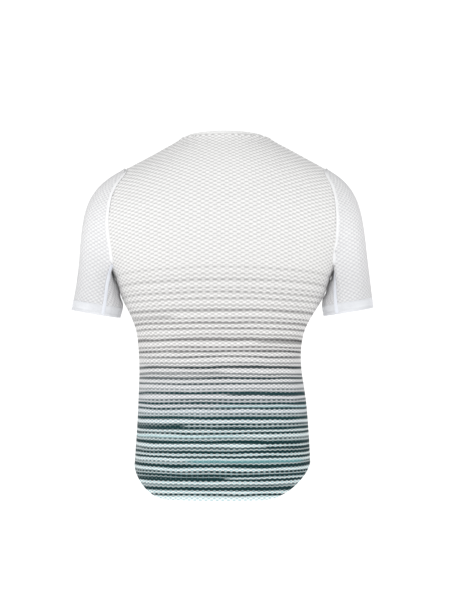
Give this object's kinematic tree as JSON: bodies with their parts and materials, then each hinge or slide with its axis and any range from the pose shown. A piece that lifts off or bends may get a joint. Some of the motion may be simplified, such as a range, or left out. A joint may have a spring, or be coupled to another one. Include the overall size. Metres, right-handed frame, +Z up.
{
  "type": "base layer top",
  "caption": "Short-sleeved mesh base layer top with a crew neckband, solid cuffs and a dropped tail, hollow as when worn.",
  "frame": {"origin": "between the shoulders at the base of the neck, where the wearer holds the top up", "axes": "+Z up the wearer, +Y towards the back, +X towards the wearer's left sleeve"},
  "size_m": [0.558, 0.2392, 0.6634],
  "materials": {
    "mesh_cloth": "white open honeycomb knit with dark teal stripes that fade out upwards",
    "sleeve_cloth": "cool white open honeycomb knit",
    "neck_ribbing": "pale grey fine rib",
    "cuff_cloth": "cool white closed knit"
  },
  "bodies": {
    "root": {"back": "mesh_cloth", "front": "mesh_cloth", "sleeve_left": "sleeve_cloth", "sleeve_right": "sleeve_cloth", "neckband": "neck_ribbing", "cuff_left": "cuff_cloth", "cuff_right": "cuff_cloth"}
  },
  "joints": []
}
